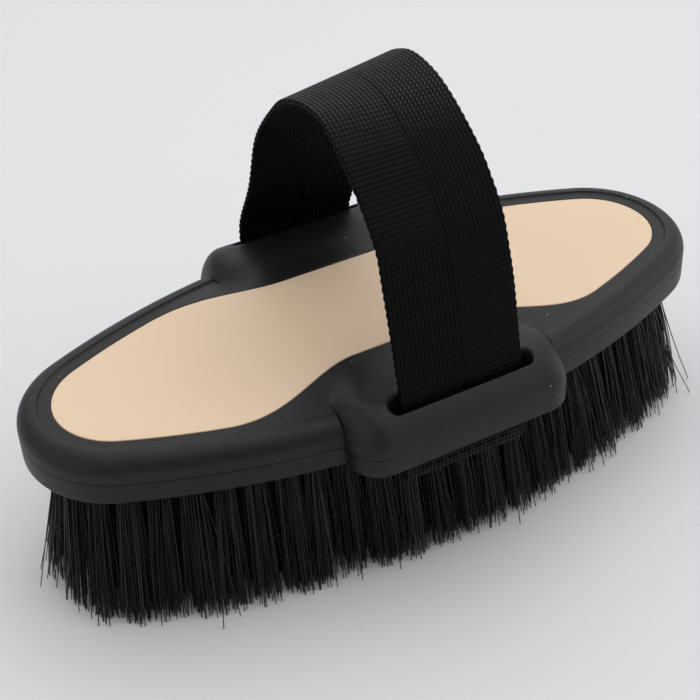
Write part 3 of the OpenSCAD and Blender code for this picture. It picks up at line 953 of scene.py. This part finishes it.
def stitch_tree(material):
    """Sets one bowed stitch at each place along a line of stitches, on both faces of a hem."""
    tree, size = size_tree("hem_stitches", stitch_sizes)
    start = size["Geometry"]
    bow = start.node("GeometryNodeCurveQuadraticBezier", None, {"Resolution": 8})
    share = start.node("GeometryNodeSplineParameter", out="Factor")
    along = (share - 0.5) * size["Length"]
    lift = size["Rise"] * 4 * share * (1 - share)
    place = start.node("ShaderNodeCombineXYZ", None, {"X": along, "Y": lift})
    bow = start.node("GeometryNodeSetPosition", None, {"Geometry": bow, "Position": place})
    round_thread = start.node("GeometryNodeCurvePrimitiveCircle", None,
                              {"Resolution": 6, "Radius": size["Thread"] * 0.5})
    stitch = start.node("GeometryNodeCurveToMesh", None,
                        {"Curve": bow, "Profile Curve": round_thread, "Fill Caps": True})
    turn = start.node("GeometryNodeInputNamedAttribute", {"data_type": "FLOAT"}, {"Name": "turn"})
    turned = start.node("ShaderNodeCombineXYZ", None, {"Z": turn})
    rotation = start.node("FunctionNodeEulerToRotation", None, {"Euler": turned})
    row = start.node("GeometryNodeInstanceOnPoints", None,
                     {"Points": start, "Instance": stitch, "Rotation": rotation})
    end_tree(row, material)
    return tree


thread_finish = sewing_thread()
thread_tree = stitch_tree(thread_finish)
for name, side in (("front_hem", -1), ("rear_hem", 1)):
    outer_y = side * (hem_outer + stitch_offset)
    inner_y = side * (hem_outer - 2 * hem_fold - stitch_offset)
    places, turns = [], []
    for y, facing in ((outer_y, side), (inner_y, -side)):
        for i in range(stitch_sizes["Stitches"]):
            x = (i - (stitch_sizes["Stitches"] - 1) / 2) * stitch_sizes["Pitch"]
            places.append((x, y, stitch_z))
            turns.append(0 if facing > 0 else math.pi)
    stitch_mesh = bpy.data.meshes.new(f"{name}_stitches")
    stitch_mesh.from_pydata(places, [], [])
    turning = stitch_mesh.attributes.new("turn", "FLOAT", "POINT")
    turning.data.foreach_set("value", turns)
    stitches = bpy.data.objects.new(f"{name}_stitches", stitch_mesh)
    bpy.context.scene.collection.objects.link(stitches)
    grown(stitches, thread_tree, stitch_sizes)
    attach(stitches, "strap")
    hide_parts(f"{name}_thread")


# Studio. A pale seamless floor, a broad soft lamp above, a soft sky that is brighter behind and at both
# sides, and a camera at the photograph's place.
floor_grey = (0.74, 0.745, 0.76, 1)
floor_fade = 0.985
floor_half = 12.0
key_place = (0.2, 0.0, 1.1)
key_target = (0, 0, 0.05)
key_width = 1.3
key_watts = 4.8
camera_place = Vector((-163.62, -302.22, 289.58)) * MM
camera_target = Vector((-8.02, 0, 43.38)) * MM
camera_roll = math.radians(-3.25)
camera_lens = 73.13
sky_low = (0.18, 0.18, 0.182, 1)
sky_high = (0.515, 0.515, 0.52, 1)
rear_glow = 0.82
rear_glow_from = (0.37, 0.72, 0.587)
rear_glow_edge = 0.55
right_glow = 1.45
right_glow_from = (0.87, -0.47, 0.12)
left_glow = 0.62
left_glow_from = (-0.93, 0.1, 0.35)
side_glow_edge = 0.6


def pale_floor():
    """A pale matt floor with a faint cloud."""
    material, start = new_finish("pale_studio_floor")
    place = start.node("ShaderNodeTexCoord", out="Object")
    cloud = noise(start, place, size=400 * MM)
    shade = tuple(floor_fade * part for part in floor_grey[:3]) + (1,)
    shine(start, cloud.colours(floor_grey, shade), roughness=0.9, constants={"Specular IOR Level": 0.0})
    return material


def soft_light(name, place, target, width, watts):
    """A square soft lamp at a place, turned towards a target."""
    lamp = bpy.data.lights.new(name, "AREA")
    lamp.shape = "SQUARE"
    lamp.size = width
    lamp.energy = watts
    light = bpy.data.objects.new(name, lamp)
    light.location = place
    light.rotation_euler = (Vector(target) - Vector(place)).to_track_quat("-Z", "Y").to_euler()
    bpy.context.scene.collection.objects.link(light)


floor_corners = [(-floor_half, -floor_half, 0), (floor_half, -floor_half, 0),
                 (floor_half, floor_half, 0), (-floor_half, floor_half, 0)]
floor = new_piece("studio_floor", floor_corners, [(0, 1, 2, 3)], pale_floor())
soft_light("key_softbox", key_place, key_target, key_width, key_watts)

world = bpy.data.worlds.new("studio_air")
world.use_nodes = True
world.node_tree.nodes.clear()
air = Sock(world.node_tree)
facing = air.node("ShaderNodeTexCoord", out="Generated")
height = air.node("ShaderNodeSeparateXYZ", None, {"Vector": facing}, out="Z")
level = height.between(0.0, 1.0).colours(sky_low, sky_high)
rear = facing.vector("DOT_PRODUCT", rear_glow_from).between(rear_glow_edge, 1.0)
right = facing.vector("DOT_PRODUCT", right_glow_from).between(side_glow_edge, 1.0)
left = facing.vector("DOT_PRODUCT", left_glow_from).between(side_glow_edge, 1.0)
glow = rear * rear_glow + right * right_glow + left * left_glow
sky = air.node("ShaderNodeBackground", None, {"Color": level.vector("ADD", glow)})
air.node("ShaderNodeOutputWorld", None, {"Surface": sky})
scene = bpy.context.scene
scene.world = world
scene.view_settings.view_transform = "Standard"

camera_data = bpy.data.cameras.new("photo_camera")
camera_data.lens = camera_lens
camera_data.sensor_width = 36
camera_data.clip_start = 0.01
camera = bpy.data.objects.new("photo_camera", camera_data)
looking = (camera_target - camera_place).to_track_quat("-Z", "Y")
camera.location = camera_place
camera.rotation_euler = (looking @ Quaternion((0, 0, 1), camera_roll)).to_euler()
scene.collection.objects.link(camera)
scene.camera = camera
